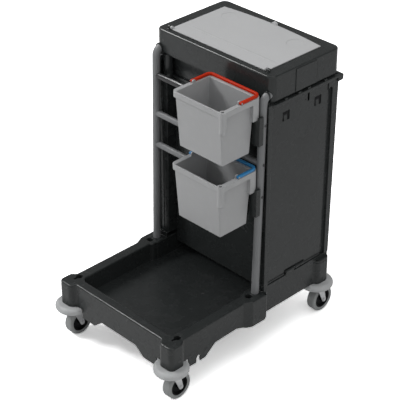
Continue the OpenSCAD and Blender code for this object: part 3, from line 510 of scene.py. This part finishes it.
def add_bail(name, material, body, node):
    """Carrying handle: a rounded strip bent round the rim, with eyes on the pins."""
    low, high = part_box(node)
    thick = high.z - low.z
    z = (low.z + high.z) / 2
    arm = thick / 2
    pivot_y = low.y + arm
    x0 = low.x + arm
    x1 = high.x - arm
    turn_y = high.y - arm - BAIL_TURN
    # Points of x, y and the share of the full height
    ends = []
    for degrees in EYE_ANGLES:
        t = math.radians(degrees)
        ends.append((arm * math.sin(t), math.cos(t)))
    path = [(x0, pivot_y - d, k) for d, k in ends]
    path += [(x0, pivot_y, 1.0), (x0, pivot_y + EYE_LENGTH, 1.0), (x0, turn_y, 1.0)]
    path += [(x, y, 1.0) for x, y in arc(x0 + BAIL_TURN, turn_y, BAIL_TURN, 180, 90, 8)[1:]]
    path += [(x, y, 1.0) for x, y in arc(x1 - BAIL_TURN, turn_y, BAIL_TURN, 90, 0, 8)]
    path += [(x1, pivot_y + EYE_LENGTH, 1.0), (x1, pivot_y, 1.0)]
    path += [(x1, pivot_y - d, k) for d, k in reversed(ends)]
    section = rounded_section(thick, thick, BAIL_ROUND)
    loops = []
    for i, (x, y, k) in enumerate(path):
        before = path[max(i - 1, 0)]
        after = path[min(i + 1, len(path) - 1)]
        along = Vector((after[0] - before[0], after[1] - before[1], 0)).normalized()
        out = Vector((-along.y, along.x, 0))
        loops.append([Vector((x, y, z)) + out * u + Vector((0, 0, v * k)) for u, v in section])
    bm = bmesh.new()
    add_loops(bm, loops)
    new_piece(name, bm, material, body, [node], sharp=50.0)


for corner in CORNERS:
    add_wheel(corner)
add_bail("bail_red", "red_plastic", "handle_upper", "handle_upper")
add_bail("bail_blue", "blue_plastic", "handle_lower", "handle_lower")


# Small pieces on the doors, the lid and the hood

DOOR_GAP = 0.0015
WINDOW_BACK = 0.008
WINDOW_WIDTH = 0.034
WINDOW_DOWN = 0.062
WINDOW_APART = 0.077
WINDOW_CLEAR = 0.0004
# Distance from the cart's middle plane, and the inset there
PLATE_STEPS = ((0.2630, 0.0), (0.2639, 0.0), (0.2642, 0.0008))
SQUARE = ((-1, -1), (1, -1), (1, 1), (-1, 1))


def add_window_shade_plates(side, sign):
    """Dark plates behind the tongues in a door's two snap windows: painted shade that stands for the dark
    behind the windows.
    """
    door = "door_" + side
    low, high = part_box(door)
    middle_y = (low[1] + high[1] + DOOR_GAP) / 2 + WINDOW_BACK
    half = WINDOW_WIDTH / 2 - WINDOW_CLEAR
    z = high[2] - WINDOW_DOWN + WINDOW_WIDTH / 2
    bm = bmesh.new()
    for y in (middle_y - WINDOW_APART, middle_y + WINDOW_APART):
        loops = []
        for x, inset in PLATE_STEPS:
            h = half - inset
            loops.append([(sign * x, y + a * h, z + b * h) for a, b in SQUARE])
        add_loops(bm, loops)
    # Painted shade: these dark plates darken the snap windows in place of real shade
    new_piece("window_shade_plates_" + side, bm, "dull_black", door)


FOLD_Y = 0.1558
FOLD_HALF = 0.005
FOLD_SUNK = 0.0003
# Height of the lid's top, and the fold's rise along its length
LID_TOP = 1.0523
FOLD_RISE = ((-0.206, 0.0), (-0.19, 0.0005), (0.19, 0.0005), (0.206, 0.0))


def add_lid_crease():
    """The faint fold that runs across the lid behind its front edge."""
    foot = LID_TOP - FOLD_SUNK
    bm = bmesh.new()
    loops = []
    for x, rise in FOLD_RISE:
        ridge = (x, FOLD_Y, LID_TOP + rise)
        loops.append([(x, FOLD_Y - FOLD_HALF, foot), ridge, (x, FOLD_Y + FOLD_HALF, foot)])
    add_loops(bm, loops)
    new_piece("lid_crease", bm, "lid_plastic", "lid")


SCREW_SEAT = Vector((0.269, 0.2, 1.0432))
HEAD_R = 0.0032
HEAD_H = 0.001
SHANK_R = 0.0015
SHANK_L = 0.004
# Rings of the head, as shares of its radius, and the shares of its cross recess
HEAD_RINGS = (1.0, 0.97, 0.9, 0.78, 0.62, 0.5, 0.38, 0.24, 0.12)
HEAD_STEPS = 48
HEAD_EDGE = 0.35
CROSS_HALF = 0.13
CROSS_REACH = 0.6
CROSS_DEEP = 0.55


def add_screw(bm, seat, axis):
    """Round head with a cross recess, on a shank that points the other way."""
    turn = Vector((0, 0, 1)).rotation_difference(Vector(axis)).to_matrix()

    def row(r, z, recess=False):
        made = []
        for j in range(HEAD_STEPS):
            t = 2 * math.pi * j / HEAD_STEPS
            x = r * math.cos(t)
            y = r * math.sin(t)
            slim = min(abs(x), abs(y)) < CROSS_HALF * HEAD_R
            within = max(abs(x), abs(y)) < CROSS_REACH * HEAD_R
            deep = CROSS_DEEP * HEAD_H if recess and slim and within else 0.0
            made.append(bm.verts.new(seat + turn @ Vector((x, y, z - deep))))
        return made

    rows = [row(SHANK_R, -SHANK_L), row(SHANK_R, 0.0), row(HEAD_R, 0.0)]
    for k in HEAD_RINGS:
        rise = HEAD_EDGE + (1 - HEAD_EDGE) * math.sqrt(1 - k * k)
        rows.append(row(HEAD_R * k, HEAD_H * rise, recess=True))
    for a, b in zip(rows, rows[1:]):
        join_rows(bm, a, b)
    bm.faces.new(rows[0])
    bm.faces.new(rows[-1])


def add_hood_screws():
    bm = bmesh.new()
    for sign in (-1, 1):
        add_screw(bm, Vector((sign * SCREW_SEAT.x, SCREW_SEAT.y, SCREW_SEAT.z)), (sign, 0, 0))
    new_piece("hood_screws", bm, "black_plastic", "chassis")


# Painted shade in the doors' snap windows
add_window_shade_plates("left", -1)
add_window_shade_plates("right", 1)
add_lid_crease()
add_hood_screws()


# Stage

WHITE = (1.0, 1.0, 1.0, 1.0)
FLOOR_HALF = 9.0
FLOOR_GREY = (0.85, 0.85, 0.85)
FLOOR_SEEN = (2.5, 2.5, 2.5)
FLOOR_GLOW = 0.2
FLOOR_GLOW_MIRRORED = 0.5
# Height of a direction at which the backdrop begins and ends to turn grey
SKY_FROM = 0.06
SKY_TO = 0.3
SKY_WHITE = 1.0
SKY_GREY = 0.176
SKY_LIGHT = 0.40
LAMP_TARGET = Vector((0, 0, 0.5))


def add_floor():
    """Pale floor, white to the camera, that keeps the shadow."""
    mesh = bpy.data.meshes.new("floor")
    mesh.from_pydata([(a * FLOOR_HALF, b * FLOOR_HALF, 0) for a, b in SQUARE], [], [(0, 1, 2, 3)])
    floor = bpy.data.objects.new("floor", mesh)
    SCENE.collection.objects.link(floor)
    s = Shader("floor", FLOOR_GREY, 0.9, specular=0.0)
    path = s.node("LightPath")
    seen = path.outputs["Is Camera Ray"]
    s.feed("Base Color", s.mix(seen, FLOOR_GREY, FLOOR_SEEN))
    mirrored_rays = s.most(path.outputs["Is Glossy Ray"], path.outputs["Is Transmission Ray"])
    either = s.most(seen, s.span(mirrored_rays, 0.0, 1.0, 0.0, FLOOR_GLOW_MIRRORED))
    s.feed("Emission Strength", s.span(either, 0.0, 1.0, 0.0, FLOOR_GLOW))
    s.bsdf.inputs["Emission Color"].default_value = WHITE
    mesh.materials.append(s.mat)


def add_world():
    """White behind the object and greyer towards the ceiling, with an even light of its own."""
    world = bpy.data.worlds.new("studio")
    SCENE.world = world
    world.use_nodes = True
    tree = world.node_tree
    tree.nodes.clear()
    out = tree.nodes.new("ShaderNodeOutputWorld")
    back = tree.nodes.new("ShaderNodeBackground")
    back.inputs["Color"].default_value = WHITE
    path = tree.nodes.new("ShaderNodeLightPath")
    seen = path.outputs["Is Camera Ray"]
    for kind in ("Is Glossy Ray", "Is Transmission Ray"):
        either = tree.nodes.new("ShaderNodeMath")
        either.operation = "MAXIMUM"
        tree.links.new(seen, either.inputs[0])
        tree.links.new(path.outputs[kind], either.inputs[1])
        seen = either.outputs[0]
    place = tree.nodes.new("ShaderNodeTexCoord")
    split = tree.nodes.new("ShaderNodeSeparateXYZ")
    tree.links.new(place.outputs["Generated"], split.inputs[0])
    sky = tree.nodes.new("ShaderNodeMapRange")
    sky.inputs["From Min"].default_value = SKY_FROM
    sky.inputs["From Max"].default_value = SKY_TO
    sky.inputs["To Min"].default_value = SKY_WHITE
    sky.inputs["To Max"].default_value = SKY_GREY
    tree.links.new(split.outputs["Z"], sky.inputs["Value"])
    level = tree.nodes.new("ShaderNodeMapRange")
    level.inputs["To Min"].default_value = SKY_LIGHT
    tree.links.new(sky.outputs["Result"], level.inputs["To Max"])
    tree.links.new(seen, level.inputs["Value"])
    tree.links.new(level.outputs["Result"], back.inputs["Strength"])
    tree.links.new(back.outputs[0], out.inputs[0])


def add_lamp(name, azimuth, elevation, distance, size, power, height=None, lights=True, shines=True):
    """Oval lamp; it may light the surfaces, show in their reflections, or both."""
    away = direction(azimuth, elevation)
    data = bpy.data.lights.new(name, "AREA")
    data.shape = "ELLIPSE"
    data.size = size
    data.size_y = height or size
    data.energy = power
    lamp = bpy.data.objects.new(name, data)
    lamp.location = LAMP_TARGET + away * distance
    lamp.rotation_euler = (-away).to_track_quat("-Z", "Y").to_euler()
    lamp.visible_diffuse = lights
    lamp.visible_glossy = shines
    SCENE.collection.objects.link(lamp)


SCENE.view_settings.view_transform = "Standard"
add_camera()
add_floor()
add_world()
add_lamp("top", 80.0, 80.0, 4.2, 3.4, 42.0)
add_lamp("key", -49.0, 37.0, 4.0, 1.0, 54.0, shines=False)
add_lamp("strip", -80.0, 51.0, 4.0, 2.8, 130.0, height=1.0, lights=False)
add_lamp("side", 85.0, 28.0, 4.0, 2.4, 12.0)
